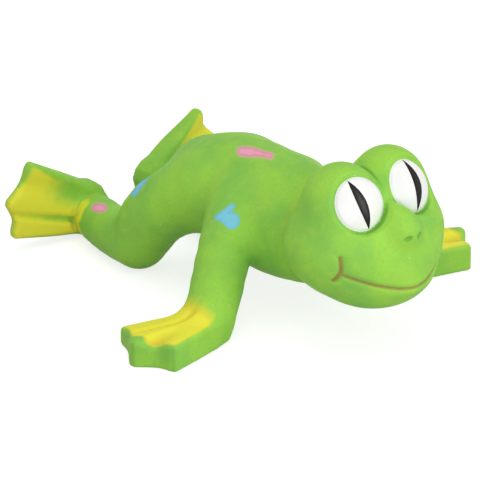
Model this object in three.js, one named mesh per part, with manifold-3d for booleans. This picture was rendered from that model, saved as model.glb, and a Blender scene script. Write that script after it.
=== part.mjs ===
// A stuffed latex frog, a squeaky toy for a dog: a soft painted skin over fibre filling, with a push-in
// squeaker in the belly. Millimetres, +Z up. The frog looks along -Y and its left side is +X.
// The skin is divided at the folds where it bends, so every limb turns on the piece that carries it.
import * as THREE from 'three';
import { mergeVertices } from 'three/addons/utils/BufferGeometryUtils.js';
import Module from 'manifold-3d';

const wasm = await Module();
wasm.setup();

// Skin and fits
const SKIN = 1.6; // latex wall
const SEAT_GAP = 0.3; // between pieces that touch
const TURN_GAP = 0.5; // between pieces that turn on each other
const RIM = 2; // ring of skin left round the opening inside each limb's root
const FLOOR_FLAT = 0.5; // how far a ball that rests on the floor is pressed flat

// Torso: four balls in a row, joined by one swelling skin
const CHEST_Y = -36;
const CHEST_Z = 43;
const CHEST_R = 23;
const RIBS_Y = -15;
const RIBS_Z = 41.5;
const RIBS_R = 24;
const LOIN_Y = 10;
const LOIN_Z = 42;
const LOIN_R = 22.5;
const RUMP_Y = 30;
const RUMP_Z = 38;
const RUMP_R = 16;

// Head, placed from the chest; its own bulges are placed from its middle
const HEAD_AHEAD = 30;
const HEAD_RISE = 4;
const HEAD_HALF_WIDTH = 34;
const HEAD_HALF_LENGTH = 30;
const HEAD_HALF_HEIGHT = 24;
const JAW_AHEAD = 9;
const JAW_DROP = 7;
const JAW_HALF_WIDTH = 29.5;
const JAW_HALF_LENGTH = 24;
const JAW_HALF_HEIGHT = 18;
const BROW_SPREAD = 13;
const BROW_AHEAD = 3.5;
const BROW_RISE = 18;
const BROW_R = 16.5;
const BROW_HALF_HEIGHT = 18;
const NOSE_AHEAD = 25.5;
const NOSE_RISE = 12;
const NOSE_HALF_WIDTH = 6.5;
const NOSE_R = 5.5;

// Eyes: flat painted discs let into the brows, looking ahead, up and a little outwards
const EYE_SPREAD = 14.2;
const EYE_AHEAD = 14;
const EYE_RISE = 22;
const EYE_WIDTH = 22.5;
const EYE_HEIGHT = 24.5;
const EYE_THICKNESS = 2.4;
const EYE_PROUD = 0.6; // how far the disc stands out of the brow
const EYE_LEDGE = 1.5; // flat ring of brow round the disc
const EYE_TILT_UP = 24;
const EYE_TURN_OUT = 10;
const PUPIL_HEIGHT = 21;
const PUPIL_BULGE = 8;
const PUPIL_THICKNESS = 1;

// Front limbs: a tapering leg and a flat three-toed hand
const SHOULDER_X = 19;
const SHOULDER_Y = -9;
const SHOULDER_Z = 46;
const SHOULDER_R = 12;
const WRIST_X = 46;
const WRIST_Y = -25;
const WRIST_R = 10;
const HAND_REACH = 43;
const HAND_SPREAD = 26.5; // degrees from one toe to the next
const HAND_TURN = 1.5; // degrees that the hand points ahead of straight out
const HAND_HEEL = 20;
const HAND_THICKNESS = 10;

// Hind limbs: thigh, shank and an upright three-toed foot
const HIP_X = 13.5;
const HIP_Y = 20;
const HIP_Z = 41;
const HIP_R = 15;
const KNEE_X = 24;
const KNEE_Y = 49;
const KNEE_R = 13;
const ANKLE_X = 17;
const ANKLE_Y = 89;
const ANKLE_Z = 11.3;
const ANKLE_R = 9.5;
const FOOT_REACH = 42;
const FOOT_SPREAD = 25;
const FOOT_RAISE = 16; // degrees that the foot points up
const FOOT_SWEEP = 8.5; // degrees that it points back of straight out
const FOOT_HEEL = 18;
const FOOT_THICKNESS = 8.5;
const FOOT_TIP_THICKNESS = 5.5;

// Both kinds of foot
const WEB_DEPTH = 5; // how far the web lies behind the toe tips
const TOE_HALF_ANGLE = 5; // half the width of a toe's tip, in degrees
const FOOT_BEVEL = 1.6;

// Squeaker, pushed into the belly under the ribs
const CUP_R = 8;
const CUP_HEIGHT = 14;
const CUP_WALL = 1.2;
const CUP_FLOOR = 1.5;
const CUP_RECESS = 0.6;
const AIR_HOLE_R = 1.5;
const BLOCK_HEIGHT = 4;
const REED_LENGTH = 9;
const REED_WIDTH = 4;
const REED_THICKNESS = 0.5;
const CLIP_LENGTH = 2.2;
const CLIP_WIDTH = 6;
const CLIP_HEIGHT = 1.2;

// How far each fold bends, in degrees, least and most
const NECK_NOD = [-10, 12];
const SHOULDER_SWING = [-14, 14];
const WRIST_BEND = [0, 24];
const HIP_SWING = [-8, 8];
const KNEE_BEND = [0, 18];
const ANKLE_BEND = [-18, 18];

// Facets: fine ones show, plain ones are inside or only cut
const FINE_TORSO = { sides: 20, capRings: 4, spanRings: 3 };
const FINE_LIMB = { sides: 14, capRings: 3, spanRings: 3 };
const PLAIN_TORSO = { sides: 16, capRings: 3, spanRings: 2 };
const PLAIN_LIMB = { sides: 10, capRings: 3, spanRings: 2 };
const PLAIN_SHARE = 0.6; // sides of a bulge inside the head, as a share of those outside
const ROUND_SIDES = 20;
const OPENING_SIDES = 12;

const X_AXIS = new THREE.Vector3(1, 0, 0);
const Z_AXIS = new THREE.Vector3(0, 0, 1);
const FAR = 400; // longer than the toy

const point = (x, y, z) => new THREE.Vector3(x, y, z);
const radians = THREE.MathUtils.degToRad;

// A closed three.js geometry as a solid that can be joined and cut.
function solid(geometry) {
  const bare = geometry.clone();
  bare.deleteAttribute('normal');
  bare.deleteAttribute('uv');
  const merged = mergeVertices(bare, 1e-4);
  const mesh = new wasm.Mesh({
    numProp: 3,
    vertProperties: new Float32Array(merged.attributes.position.array),
    triVerts: new Uint32Array(merged.index.array),
  });
  return new wasm.Manifold(mesh);
}

// A finished solid as a named mesh with its own material.
function piece(name, shape, { color, roughness }) {
  const { vertProperties, triVerts } = shape.getMesh();
  const geometry = new THREE.BufferGeometry();
  geometry.setAttribute('position', new THREE.BufferAttribute(new Float32Array(vertProperties), 3));
  geometry.setIndex(new THREE.BufferAttribute(new Uint32Array(triVerts), 1));
  geometry.computeVertexNormals();
  const mesh = new THREE.Mesh(geometry, new THREE.MeshStandardMaterial({ color, roughness, metalness: 0 }));
  mesh.name = name;
  return mesh;
}

// A tube of round sections with ball ends, which swells and tapers through a row of balls.
function stuffedForm(balls, grow, { sides, capRings, spanRings }) {
  const path = new THREE.CatmullRomCurve3(balls.map((ball) => ball.at));
  const radii = new THREE.SplineCurve(balls.map((ball, i) => new THREE.Vector2(i, ball.r)));
  const steps = spanRings * (balls.length - 1);
  const rings = [];
  const addRing = (at, along, r) => {
    const across = new THREE.Vector3().crossVectors(along, Z_AXIS).normalize();
    const up = new THREE.Vector3().crossVectors(across, along);
    rings.push(Array.from({ length: sides }, (_, k) => {
      const turn = (2 * Math.PI * k) / sides;
      return at.clone().addScaledVector(across, r * Math.cos(turn)).addScaledVector(up, r * Math.sin(turn));
    }));
  };
  const addCap = (ball, along, ringOrder) => {
    for (const k of ringOrder) {
      const tilt = (Math.PI / 2) * (k / capRings);
      const r = ball.r + grow;
      addRing(ball.at.clone().addScaledVector(along, r * Math.sin(tilt)), along, r * Math.cos(tilt));
    }
  };
  const inner = Array.from({ length: capRings - 1 }, (_, k) => k + 1);
  const first = balls[0];
  const last = balls[balls.length - 1];
  const start = path.getTangent(0);
  const end = path.getTangent(1);
  addCap(first, start, inner.map((k) => -k).reverse());
  for (let i = 0; i <= steps; i += 1) {
    addRing(path.getPoint(i / steps), path.getTangent(i / steps), radii.getPoint(i / steps).y + grow);
  }
  addCap(last, end, inner);
  const startPole = first.at.clone().addScaledVector(start, -(first.r + grow));
  const endPole = last.at.clone().addScaledVector(end, last.r + grow);
  return skinOverRings(rings, startPole, endPole);
}

// The closed surface over rings of equal counts, with a pole point at each end.
function skinOverRings(rings, startPole, endPole) {
  const sides = rings[0].length;
  const points = [startPole, ...rings.flat(), endPole];
  const at = (ring, k) => 1 + ring * sides + (k % sides);
  const faces = [];
  for (let k = 0; k < sides; k += 1) {
    faces.push(0, at(0, k), at(0, k + 1));
    for (let ring = 0; ring + 1 < rings.length; ring += 1) {
      faces.push(at(ring, k), at(ring + 1, k), at(ring + 1, k + 1));
      faces.push(at(ring, k), at(ring + 1, k + 1), at(ring, k + 1));
    }
    faces.push(points.length - 1, at(rings.length - 1, k + 1), at(rings.length - 1, k));
  }
  const geometry = new THREE.BufferGeometry().setFromPoints(points);
  geometry.setIndex(faces);
  return geometry;
}

function ellipsoid(centre, halfSizes, sides, grow = 0) {
  const geometry = new THREE.SphereGeometry(1, sides, Math.round(sides * 0.6));
  geometry.rotateX(Math.PI / 2);
  geometry.scale(halfSizes.x + grow, halfSizes.y + grow, halfSizes.z + grow);
  return geometry.translate(centre.x, centre.y, centre.z);
}

// The space that a form takes while it turns about a hinge, seen from the piece that turns on it.
function turnedSpace(geometry, pivot, axis, range) {
  const angles = new Set([range[0], 0, range[1]]);
  const parts = [...angles].map((angle) => {
    const turn = new THREE.Matrix4().makeTranslation(pivot);
    turn.multiply(new THREE.Matrix4().makeRotationAxis(axis, radians(-angle)));
    turn.multiply(new THREE.Matrix4().makeTranslation(pivot.clone().negate()));
    return solid(geometry.clone().applyMatrix4(turn));
  });
  return parts.reduce((sum, part) => sum.add(part));
}

// A webbed foot's outline from above: a straight heel, then toe tips on one arc with the web between.
function fanShape(reach, spread, heel) {
  const polar = (r, degrees) => new THREE.Vector2(r * Math.cos(radians(degrees)), r * Math.sin(radians(degrees)));
  const shape = new THREE.Shape();
  shape.moveTo(0, -heel / 2);
  for (const toe of [-1, 0, 1]) {
    const before = polar(reach - FOOT_BEVEL, toe * spread - TOE_HALF_ANGLE);
    const tip = polar(reach + FOOT_BEVEL, toe * spread);
    const after = polar(reach - FOOT_BEVEL, toe * spread + TOE_HALF_ANGLE);
    shape.lineTo(before.x, before.y);
    shape.quadraticCurveTo(tip.x, tip.y, after.x, after.y);
    if (toe < 1) {
      const web = polar(reach - WEB_DEPTH, (toe + 0.5) * spread);
      shape.lineTo(web.x, web.y);
    }
  }
  shape.lineTo(0, heel / 2);
  shape.closePath();
  return shape;
}

// A foot of that outline, thinning from heel to tip, laid along one direction and across another.
function fanForm(shape, reach, thickness, tipThickness, root, along, across) {
  const geometry = new THREE.ExtrudeGeometry(shape, {
    depth: thickness - 2 * FOOT_BEVEL,
    bevelThickness: FOOT_BEVEL,
    bevelSize: FOOT_BEVEL,
    bevelOffset: -FOOT_BEVEL,
    bevelSegments: 1,
    curveSegments: 3,
  });
  geometry.translate(0, 0, FOOT_BEVEL - thickness / 2);
  const places = geometry.attributes.position;
  for (let i = 0; i < places.count; i += 1) {
    const out = THREE.MathUtils.clamp(places.getX(i) / reach, 0, 1);
    places.setZ(i, places.getZ(i) * THREE.MathUtils.lerp(1, tipThickness / thickness, out));
  }
  const face = new THREE.Vector3().crossVectors(along, across);
  const frame = new THREE.Matrix4().makeBasis(along, across, face).setPosition(root);
  return geometry.applyMatrix4(frame);
}

// A round rod from one point to another.
function rod(from, to, r, sides) {
  const along = to.clone().sub(from);
  const geometry = new THREE.CylinderGeometry(r, r, along.length(), sides);
  const turn = new THREE.Quaternion().setFromUnitVectors(new THREE.Vector3(0, 1, 0), along.normalize());
  geometry.applyQuaternion(turn);
  const middle = from.clone().add(to).multiplyScalar(0.5);
  return geometry.translate(middle.x, middle.y, middle.z);
}

// A turned piece that stands on a point of the Z axis, from a profile of [radius, height] points.
function turnedPiece(profile, base) {
  const geometry = new THREE.LatheGeometry(profile.map(([r, h]) => new THREE.Vector2(r, h)), ROUND_SIDES);
  geometry.rotateX(Math.PI / 2);
  return geometry.translate(base.x, base.y, base.z);
}

function block(width, length, height, centre) {
  return new THREE.BoxGeometry(width, length, height).translate(centre.x, centre.y, centre.z);
}

// Materials, one set of values for each kind of surface
const latex = { color: 0x8cc63f, roughness: 0.62 };
const latexFoot = { color: 0xd8cf3a, roughness: 0.6 };
const eyePaint = { color: 0xf7f7f3, roughness: 0.4 };
const pupilPaint = { color: 0x111312, roughness: 0.35 };
const fibre = { color: 0xf1efe8, roughness: 0.95 };
const squeakerPlastic = { color: 0xe9e9e4, roughness: 0.45 };
const reedPlastic = { color: 0xc9d3da, roughness: 0.3 };

// Joint centres and the balls of each form
const chest = { at: point(0, CHEST_Y, CHEST_Z), r: CHEST_R };
const ribs = { at: point(0, RIBS_Y, RIBS_Z), r: RIBS_R };
const loin = { at: point(0, LOIN_Y, LOIN_Z), r: LOIN_R };
const rump = { at: point(0, RUMP_Y, RUMP_Z), r: RUMP_R };
const torsoBalls = [chest, ribs, loin, rump];
const torsoForm = (grow, facets) => stuffedForm(torsoBalls, grow, facets);
// Plain facets cut inside the round, so what they clear grows until their flats lie outside it.
const clearance = (r, { sides }) => TURN_GAP + r / Math.cos(Math.PI / sides) - r;
const torsoSpace = torsoForm(clearance(RIBS_R, PLAIN_TORSO), PLAIN_TORSO);
const limbSpace = (balls) => stuffedForm(balls, clearance(balls[0].r, PLAIN_LIMB), PLAIN_LIMB);
const floorSpace = solid(block(FAR, FAR, FAR, point(0, 0, -FAR / 2)));

const legBalls = (side) => [
  { at: point(side * SHOULDER_X, SHOULDER_Y, SHOULDER_Z), r: SHOULDER_R },
  { at: point(side * WRIST_X, WRIST_Y, WRIST_R - FLOOR_FLAT), r: WRIST_R },
];
const thighBalls = (side) => [
  { at: point(side * HIP_X, HIP_Y, HIP_Z), r: HIP_R },
  { at: point(side * KNEE_X, KNEE_Y, KNEE_R - FLOOR_FLAT), r: KNEE_R },
];
const shankBalls = (side) => [
  thighBalls(side)[1],
  { at: point(side * ANKLE_X, ANKLE_Y, ANKLE_Z), r: ANKLE_R },
];

// The opening inside a limb's root, which the filling runs through.
function rootOpening(balls) {
  const [root, end] = balls;
  return solid(rod(root.at, end.at, root.r - SKIN - RIM, OPENING_SIDES));
}

// Skin and filling of a limb that turns on a larger form.
function limb(balls, carrier) {
  const outer = solid(stuffedForm(balls, 0, FINE_LIMB));
  const hollow = solid(stuffedForm(balls, -SKIN, PLAIN_LIMB));
  const skin = outer.subtract(hollow).subtract(carrier).subtract(floorSpace);
  const filling = solid(stuffedForm(balls, -SKIN - SEAT_GAP, PLAIN_LIMB)).subtract(carrier);
  return { skin, filling };
}

// Head: the skull, the jaw, two brows and the nose
const headCentre = chest.at.clone().add(point(0, -HEAD_AHEAD, HEAD_RISE));
const fromHead = (side, ahead, rise) => headCentre.clone().add(point(side, -ahead, rise));

const headCore = [
  [fromHead(0, 0, 0), point(HEAD_HALF_WIDTH, HEAD_HALF_LENGTH, HEAD_HALF_HEIGHT), 22],
  [fromHead(0, JAW_AHEAD, -JAW_DROP), point(JAW_HALF_WIDTH, JAW_HALF_LENGTH, JAW_HALF_HEIGHT), 18],
];
const headBulges = [
  ...headCore,
  [fromHead(-BROW_SPREAD, BROW_AHEAD, BROW_RISE), point(BROW_R, BROW_R, BROW_HALF_HEIGHT), 16],
  [fromHead(BROW_SPREAD, BROW_AHEAD, BROW_RISE), point(BROW_R, BROW_R, BROW_HALF_HEIGHT), 16],
  [fromHead(0, NOSE_AHEAD, NOSE_RISE), point(NOSE_HALF_WIDTH, NOSE_R, NOSE_R), 10],
];

function headForm(bulges, grow, share) {
  const solids = bulges.map(([at, half, sides]) => solid(ellipsoid(at, half, Math.round(sides * share), grow)));
  return solids.reduce((sum, bulge) => sum.add(bulge));
}

// The eye's frame has its face along +Z, its top along +Y and its right-hand edge along +X.
function eyeFrame(side) {
  const out = radians(EYE_TURN_OUT) * side;
  const up = radians(EYE_TILT_UP);
  const face = point(Math.sin(out) * Math.cos(up), -Math.cos(out) * Math.cos(up), Math.sin(up));
  const right = new THREE.Vector3().crossVectors(Z_AXIS, face).normalize();
  const top = new THREE.Vector3().crossVectors(face, right);
  const centre = fromHead(side * EYE_SPREAD, EYE_AHEAD, EYE_RISE);
  return new THREE.Matrix4().makeBasis(right, top, face).setPosition(centre);
}

// A flat oval standing from one height to another on the eye's face.
function eyeOval(side, grow, from, to) {
  const oval = new THREE.CylinderGeometry(1, 1, to - from, ROUND_SIDES);
  oval.rotateX(Math.PI / 2);
  oval.scale(EYE_WIDTH / 2 + grow, EYE_HEIGHT / 2 + grow, 1);
  oval.translate(0, 0, (from + to) / 2);
  return solid(oval.applyMatrix4(eyeFrame(side)));
}

// A slit pupil with one straight edge and one bulging edge, let flush into the white.
function pupilForm(side, grow, from, to) {
  const half = PUPIL_HEIGHT / 2 + grow;
  const edge = -PUPIL_BULGE / 4 - grow;
  const slit = new THREE.Shape();
  slit.moveTo(edge, half);
  slit.lineTo(edge, -half);
  slit.bezierCurveTo(edge + PUPIL_BULGE + 2 * grow, -half / 2, edge + PUPIL_BULGE + 2 * grow, half / 2, edge, half);
  const geometry = new THREE.ExtrudeGeometry(slit, { depth: to - from, bevelEnabled: false, curveSegments: 10 });
  geometry.translate(0, 0, from);
  return solid(geometry.applyMatrix4(eyeFrame(side)));
}

const toy = new THREE.Group();
const sides = { right: -1, left: 1 };
const add = (name, shape, finish) => toy.add(piece(name, shape, finish));

// Torso skin, open at the neck, at each limb's root and where the squeaker goes in
const cupBase = ribs.at.clone().add(point(0, 0, CUP_RECESS - RIBS_R));
const cupTop = cupBase.clone().add(point(0, 0, CUP_HEIGHT));
const squeakerSpace = solid(rod(cupBase.clone().add(point(0, 0, -RIBS_R)), cupTop.clone().add(point(0, 0, SEAT_GAP)),
  CUP_R + SEAT_GAP, ROUND_SIDES));
let torsoSkin = solid(torsoForm(0, FINE_TORSO)).subtract(solid(torsoForm(-SKIN, PLAIN_TORSO)));
torsoSkin = torsoSkin.subtract(squeakerSpace);
torsoSkin = torsoSkin.subtract(rootOpening([{ at: chest.at, r: CHEST_R * 0.7 }, { at: headCentre }]));
for (const side of Object.values(sides)) {
  torsoSkin = torsoSkin.subtract(rootOpening(legBalls(side))).subtract(rootOpening(thighBalls(side)));
}
add('torso_skin', torsoSkin, latex);
add('torso_filling', solid(torsoForm(-SKIN - SEAT_GAP, PLAIN_TORSO)).subtract(squeakerSpace), fibre);

// Head skin and filling, hollowed to turn on the chest ball
const neckSpace = solid(ellipsoid(chest.at, point(CHEST_R, CHEST_R, CHEST_R), ROUND_SIDES, TURN_GAP));
function eyeSocket(side, grow) {
  const pocket = eyeOval(side, grow, -EYE_THICKNESS - grow, 0);
  return pocket.add(eyeOval(side, EYE_LEDGE + grow, -EYE_PROUD - grow, BROW_R));
}
const eyeSockets = (grow) => eyeSocket(sides.right, grow).add(eyeSocket(sides.left, grow));
const headHollow = headForm(headCore, -SKIN, PLAIN_SHARE).subtract(eyeSockets(SKIN + SEAT_GAP));
add('head_skin', headForm(headBulges, 0, 1).subtract(headHollow).subtract(eyeSockets(SEAT_GAP)).subtract(neckSpace), latex);
const headFilling = headForm(headCore, -SKIN - SEAT_GAP, PLAIN_SHARE).subtract(eyeSockets(SKIN + 2 * SEAT_GAP));
add('head_filling', headFilling.subtract(neckSpace), fibre);

for (const [name, side] of Object.entries(sides)) {
  const white = eyeOval(side, 0, -EYE_THICKNESS, 0);
  add(`${name}_eye_white`, white.subtract(pupilForm(side, SEAT_GAP, -PUPIL_THICKNESS - SEAT_GAP, 1)), eyePaint);
  add(`${name}_pupil`, pupilForm(side, 0, -PUPIL_THICKNESS, 0), pupilPaint);
}

for (const [name, side] of Object.entries(sides)) {
  // Front leg, turning fore and aft where its line meets the flank
  const leg = legBalls(side);
  const wrist = leg[1].at;
  const shoulder = point(side * SHOULDER_X, SHOULDER_Y, RIBS_Z);
  const frontLeg = limb(leg, turnedSpace(torsoSpace, shoulder, X_AXIS, SHOULDER_SWING));
  add(`${name}_front_leg_skin`, frontLeg.skin, latex);
  add(`${name}_front_leg_filling`, frontLeg.filling, fibre);

  // Hand, flat on the floor, bending up on the wrist ball
  const handTurn = radians(HAND_TURN);
  const handAlong = point(side * Math.cos(handTurn), -Math.sin(handTurn), 0);
  const handAcross = new THREE.Vector3().crossVectors(Z_AXIS, handAlong);
  const handRoot = point(wrist.x, wrist.y, HAND_THICKNESS / 2);
  const handShape = fanShape(HAND_REACH, HAND_SPREAD, HAND_HEEL);
  const hand = fanForm(handShape, HAND_REACH, HAND_THICKNESS, HAND_THICKNESS, handRoot, handAlong, handAcross);
  const wristAxis = point(0, -side, 0);
  const wristSpace = turnedSpace(limbSpace(leg), wrist, wristAxis, WRIST_BEND);
  add(`${name}_hand`, solid(hand).subtract(wristSpace), latexFoot);

  // Thigh, turning on the rump ball, and shank, turning on the knee ball
  const thigh = thighBalls(side);
  const upper = limb(thigh, turnedSpace(torsoSpace, rump.at, X_AXIS, HIP_SWING));
  add(`${name}_thigh_skin`, upper.skin, latex);
  add(`${name}_thigh_filling`, upper.filling, fibre);
  const shank = shankBalls(side);
  const lower = limb(shank, turnedSpace(limbSpace(thigh), thigh[1].at, X_AXIS, KNEE_BEND));
  add(`${name}_shank_skin`, lower.skin, latex);
  add(`${name}_shank_filling`, lower.filling, fibre);

  // Hind foot, standing on edge, bending fore and aft on the ankle ball
  const ankle = shank[1].at;
  const raise = radians(FOOT_RAISE);
  const sweep = radians(FOOT_SWEEP);
  const footAlong = point(side * Math.cos(raise) * Math.cos(sweep), Math.cos(raise) * Math.sin(sweep), Math.sin(raise));
  const footAcross = Z_AXIS.clone().addScaledVector(footAlong, -footAlong.z).normalize();
  const footShape = fanShape(FOOT_REACH, FOOT_SPREAD, FOOT_HEEL);
  const foot = fanForm(footShape, FOOT_REACH, FOOT_THICKNESS, FOOT_TIP_THICKNESS, ankle, footAlong, footAcross);
  const ankleSpace = turnedSpace(limbSpace(shank), ankle, footAcross, ANKLE_BEND);
  add(`${name}_hind_foot`, solid(foot).subtract(ankleSpace), latexFoot);
}

// Squeaker: a cup with an air hole, a block with its slot, and the reed held on it by a clip
const bore = CUP_R - CUP_WALL;
const ring = (inner, outer, bottom, top) => [
  [inner, bottom], [outer, bottom], [outer, top], [inner, top], [inner, bottom],
];
const cupProfile = [
  [AIR_HOLE_R, 0], [CUP_R, 0], [CUP_R, CUP_HEIGHT], [bore, CUP_HEIGHT], [bore, CUP_FLOOR],
  [AIR_HOLE_R, CUP_FLOOR], [AIR_HOLE_R, 0],
];
add('squeaker_cup', solid(turnedPiece(cupProfile, cupBase)), squeakerPlastic);
const blockBottom = CUP_FLOOR + SEAT_GAP;
const blockTop = blockBottom + BLOCK_HEIGHT;
add('reed_block', solid(turnedPiece(ring(AIR_HOLE_R, bore - SEAT_GAP, blockBottom, blockTop), cupBase)),
  squeakerPlastic);
const reedMiddle = cupBase.clone().add(point(0, 0, blockTop + SEAT_GAP + REED_THICKNESS / 2));
add('reed', solid(block(REED_WIDTH, REED_LENGTH, REED_THICKNESS, reedMiddle)), reedPlastic);
const clipRise = (REED_THICKNESS + CLIP_HEIGHT) / 2 + SEAT_GAP;
const clipMiddle = reedMiddle.clone().add(point(0, (CLIP_LENGTH - REED_LENGTH) / 2, clipRise));
add('reed_clip', solid(block(CLIP_WIDTH, CLIP_LENGTH, CLIP_HEIGHT, clipMiddle)), squeakerPlastic);

export default toy;
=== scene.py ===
# A stuffed latex frog for a dog to squeeze: a soft painted skin over fibre, with a squeaker in its belly.
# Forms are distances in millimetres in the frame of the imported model: +Z up, the frog looks along -Y and its
# left side is +X. Meshes are in metres.
import math
from concurrent.futures import ThreadPoolExecutor

import bpy
import numpy as np
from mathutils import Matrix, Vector


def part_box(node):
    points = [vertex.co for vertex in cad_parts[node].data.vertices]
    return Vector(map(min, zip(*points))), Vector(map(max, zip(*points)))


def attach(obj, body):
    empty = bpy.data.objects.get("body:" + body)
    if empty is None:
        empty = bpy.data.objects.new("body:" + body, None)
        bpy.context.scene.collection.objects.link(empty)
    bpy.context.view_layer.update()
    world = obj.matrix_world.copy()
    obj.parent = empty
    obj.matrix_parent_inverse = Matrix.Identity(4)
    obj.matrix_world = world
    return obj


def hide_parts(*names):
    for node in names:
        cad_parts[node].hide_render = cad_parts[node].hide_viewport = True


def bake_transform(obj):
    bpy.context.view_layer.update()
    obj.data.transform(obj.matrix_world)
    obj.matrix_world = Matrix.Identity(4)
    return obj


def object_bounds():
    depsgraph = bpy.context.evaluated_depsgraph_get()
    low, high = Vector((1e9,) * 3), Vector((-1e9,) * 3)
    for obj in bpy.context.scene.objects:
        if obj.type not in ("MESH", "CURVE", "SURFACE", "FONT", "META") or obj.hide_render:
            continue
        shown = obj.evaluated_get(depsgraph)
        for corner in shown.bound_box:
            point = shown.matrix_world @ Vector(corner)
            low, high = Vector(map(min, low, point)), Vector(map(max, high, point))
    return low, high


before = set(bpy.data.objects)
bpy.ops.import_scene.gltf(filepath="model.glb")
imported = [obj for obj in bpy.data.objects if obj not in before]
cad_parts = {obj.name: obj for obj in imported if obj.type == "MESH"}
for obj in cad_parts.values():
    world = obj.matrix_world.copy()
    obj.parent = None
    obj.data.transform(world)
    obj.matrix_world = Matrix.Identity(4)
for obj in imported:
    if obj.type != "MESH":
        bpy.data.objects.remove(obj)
cad_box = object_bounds()

MM = 0.001
SIDES = {"right": -1, "left": 1}

# Skin
SKIN = 1.6
GRID = 0.8  # spacing of the skin's mesh
COARSE = 4  # grid steps between the places first looked at
NEAR = 12  # how far off a form is worked out in full
SHARE = 16000  # places worked out at a time
SMALLEST = 1e-6  # least length that is divided by
NOSE_ROOM = 12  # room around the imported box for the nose
ROOM = 6  # room around other sides and boxes
ROOM_STEPS = 2  # grid steps of room beside and below the frog

# How softly forms run into each other, as radii
BALL_JOIN = 2
HIP_JOIN = 8
KNEE_JOIN = 1.5
ANKLE_JOIN = 2.5
SHOULDER_JOIN = 6
WRIST_JOIN = 10
NECK_JOIN = 5
JAW_JOIN = 8
LIP_JOIN = 2
CHIN_JOIN = 4
BROW_JOIN = 8
BRIDGE_JOIN = 5
NOSE_JOIN = 4.5
FILL_JOIN = 10
NOSTRIL_EDGE = 0.8
POCKET_EDGE = 0.6
GROUND_EDGE = 1.5  # where a limb lies on the ground

# Rows of balls that the skin swells through: x, y, z, radius. Limbs are the right one's.
TORSO = [(0, -36, 37.6, 21.6), (0, -15, 39.3, 25), (0, 10, 42, 22.7), (0, 30, 41, 17.6)]
FRONT_LEG = [(-18, -9, 44.5, 11.8), (-29, -15.3, 33, 10.9), (-39.2, -21.5, 19, 10.7), (-46, -26, 10.5, 9.8)]
THIGH = [(-13, 18, 43, 15), (-21, 37.8, 28.6, 13.9), (-24, 48.3, 12.6, 12.3)]
SHANK = [THIGH[-1], (-23, 66, 10.4, 10.1), (-18.2, 85.2, 9.5, 9.5)]
BALL_STEPS = 3  # balls on the curve from one to the next
FRONT_LEG_STEPS = 2

# Head: centres and half sizes
SKULL = [(0, -69.5, 47.5), (36, 29, 24.7)]
JAW = [(0, -75.5, 40), (25, 25.5, 16.5)]
LIP = [(0, -80, 34.5), (18.5, 22.5, 8.5)]
CHIN = [(0, -78.5, 33), (22.4, 20, 12.4)]
BROW = [(-12.7, -70.3, 65.5), (16.3, 16.6, 17.8)]
HEAD_ROLL = 1.8  # degrees that the head leans to its right
HEAD_CORNERS = [(-35, -106, 19), (35, -36, 84)]  # of a box around the head
NOSE = [(0, -95, 57.8), (7.2, 7, 6.2)]
NOSE_BRIDGE = [(0, -91, 62.4), (5, 6.2, 4.8)]
NOSTRIL = [(-4.4, -100.4, 56.2, 0.5), (-3.1, -101.2, 56.75, 0.8), (-1.9, -101.7, 57.3, 0.5)]

# Mouth: a smile between two corners, each with a short fold across it
MOUTH_HALF = 27.6
MOUTH_LOW = 35
MOUTH_RISE = 9
MOUTH_CURVE = 1.85
MOUTH_FOLD = [(-27.7, 51.3), (-27.8, 45.4), (-29.1, 40.8)]
MOUTH_WIDTH = 1.1
MOUTH_DEPTH = 0.9

# Eyes: domed discs set flush in the brows, that look ahead, up and a little outwards
EYE_CENTRE = (-13.55, -82.7, 69.85)
EYE_HALF = (11.1, 11.4)
EYE_TILT_UP = 28
EYE_TURN_OUT = 12
EYE_SINK = 0.35  # from the dome down to the skin under it
EYE_FADE = 2.5  # how far beyond the disc the brow is shaped to it
EYE_SEAT_DEPTHS = (-12, -8)  # heights over the eye's edge between which the brow comes to be shaped to it
EYE_THICKNESS = 2.4
EYE_DOME = 4
PUPIL_HALF = 2.05
PUPIL_LEAN = {"right": 11.1, "left": -10.3}
PUPIL_ASIDE = {"right": -0.8, "left": 0}
PUPIL_BOW = {"right": 0.3, "left": 0.9}
PUPIL_LIFT = 0.12
PUPIL_HIGHLIGHT = {"right": 1, "left": 0.2}  # how strong the painted grey highlight in the middle is
PUPIL_THICKNESS = 1
PUPIL_REACH = 0.985  # share of the white's height
PUPIL_END = 0.03  # half the width of its ends
PUPIL_ROWS = 41
PUPIL_COLUMNS = 9
PUPIL_SHARP = 40  # degrees at which an edge looks sharp

# Feet: a root; for each toe its degrees and reach; half the width of a tip; the web's depth between toes;
# the radius of the corners; the outline's corners before the first toe and after the last; and creases, from
# a place to another, with the depth at each and the width
HAND_ROOT = (*FRONT_LEG[-1][:2], 0)
HAND_TOES = [(-25.7, 37.3), (4, 44.2), (26.4, 39.1)]
HAND_TIP, HAND_WEB, HAND_CORNER = 1, 2.7, 1.2
HAND_SIDES = [(0, -5.3)], [(20, 14.9), (7.6, 11.6), (0, 7.7)]
HAND_CREASES = [((42, -7), (11, 1.5), 1.7, 1.5, 1.7), ((44, 11), (22, 6), 3.6, 0.3, 3.8)]
HAND_THICKNESS = 12.2
HAND_SLOPE = 0.2
HAND_RIDGE = 3
HAND_ROUND = 2.3
FOOT_ROOT = (-16.5, 90, 11.2)
FOOT_RAISE = 16
FOOT_SWEEP = 8.5
FOOT_TOES = [(-20.8, 37.7), (-1, 41.2), (24.2, 39.5)]
FOOT_TIP, FOOT_WEB, FOOT_CORNER = 0.6, 2.5, 1.8
FOOT_SIDES = [(-3, -8.8)], [(8, 10.2), (3.4, 10.4), (-0.8, 9), (-3.4, 6)]
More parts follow.
